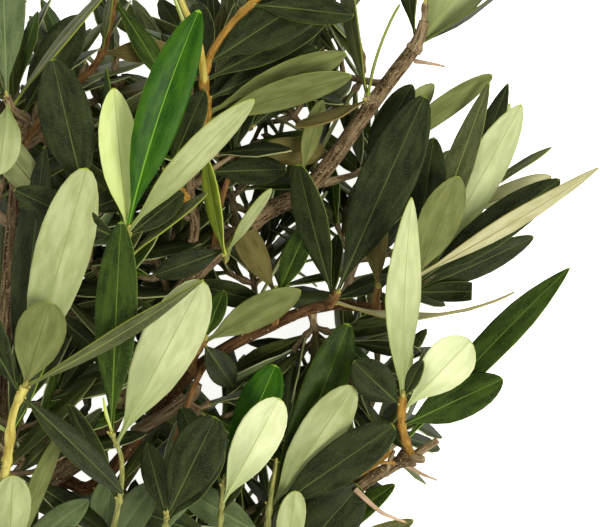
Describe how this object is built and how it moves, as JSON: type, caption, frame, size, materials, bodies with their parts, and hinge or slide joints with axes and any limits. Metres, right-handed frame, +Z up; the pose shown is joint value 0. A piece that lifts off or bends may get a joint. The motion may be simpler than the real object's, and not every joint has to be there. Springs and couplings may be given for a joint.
{
  "type": "cut leafy olive branch",
  "caption": "Cut leafy olive branch lying on its lower leaves: a stem with a flat cut that forks into boughs and leafy shoots.",
  "frame": {"origin": "on the ground, under the middle of the branch's length and breadth", "axes": "+Z up from the ground, the shortest way through the lying branch; the boughs run from the cut end at -X -Y towards +X +Y"},
  "size_m": [0.2744, 0.2752, 0.1226],
  "materials": {
    "bark": "grey-brown furrowed young bark, matt",
    "foliage": "leathery leaves, dark green and satin above, pale grey-green and matt below"
  },
  "bodies": {
    "root": {"bough_lower": "bark", "bough_middle": "bark", "bough_upper": "bark", "fill_bough": "foliage", "fill_centre": "foliage", "fill_front": "foliage", "fill_high": "foliage", "fill_left": "foliage", "fill_low": "foliage", "fill_middle": "foliage", "fill_tip": "foliage", "front_far": "foliage", "left_far": "foliage", "left_high": "foliage", "left_low": "foliage", "left_mid": "foliage", "limb_centre": "bark", "limb_front": "bark", "limb_left": "bark", "lower_a": "foliage", "lower_b": "foliage", "main_stem": "bark", "shoot_centre_left": "foliage", "shoot_centre_right": "foliage", "shoot_centre_tip": "foliage", "shoot_front_a": "foliage", "shoot_front_b": "foliage", "shoot_front_c": "foliage", "shoot_front_tall": "foliage", "shoot_left_front": "foliage", "shoot_left_inner": "foliage", "shoot_left_low": "foliage", "shoot_left_tip": "foliage", "shoot_lower_right": "foliage", "shoot_lower_upright": "foliage", "shoot_middle_back": "foliage", "shoot_middle_inner": "foliage", "shoot_middle_low": "foliage", "shoot_middle_node": "foliage", "shoot_middle_side": "foliage", "shoot_middle_tip": "foliage", "shoot_tall": "foliage", "shoot_top": "foliage", "shoot_upper_inner": "foliage", "shoot_upper_low": "foliage", "shoot_upper_mid": "foliage", "shoot_upper_side": "foliage", "shoot_upper_tip": "foliage", "under_centre": "foliage", "under_far_left": "foliage", "under_front": "foliage", "under_inner": "foliage", "under_left": "foliage", "under_lower": "foliage", "under_middle": "foliage", "under_right": "foliage", "under_tip": "foliage", "under_top": "foliage"}
  },
  "joints": []
}
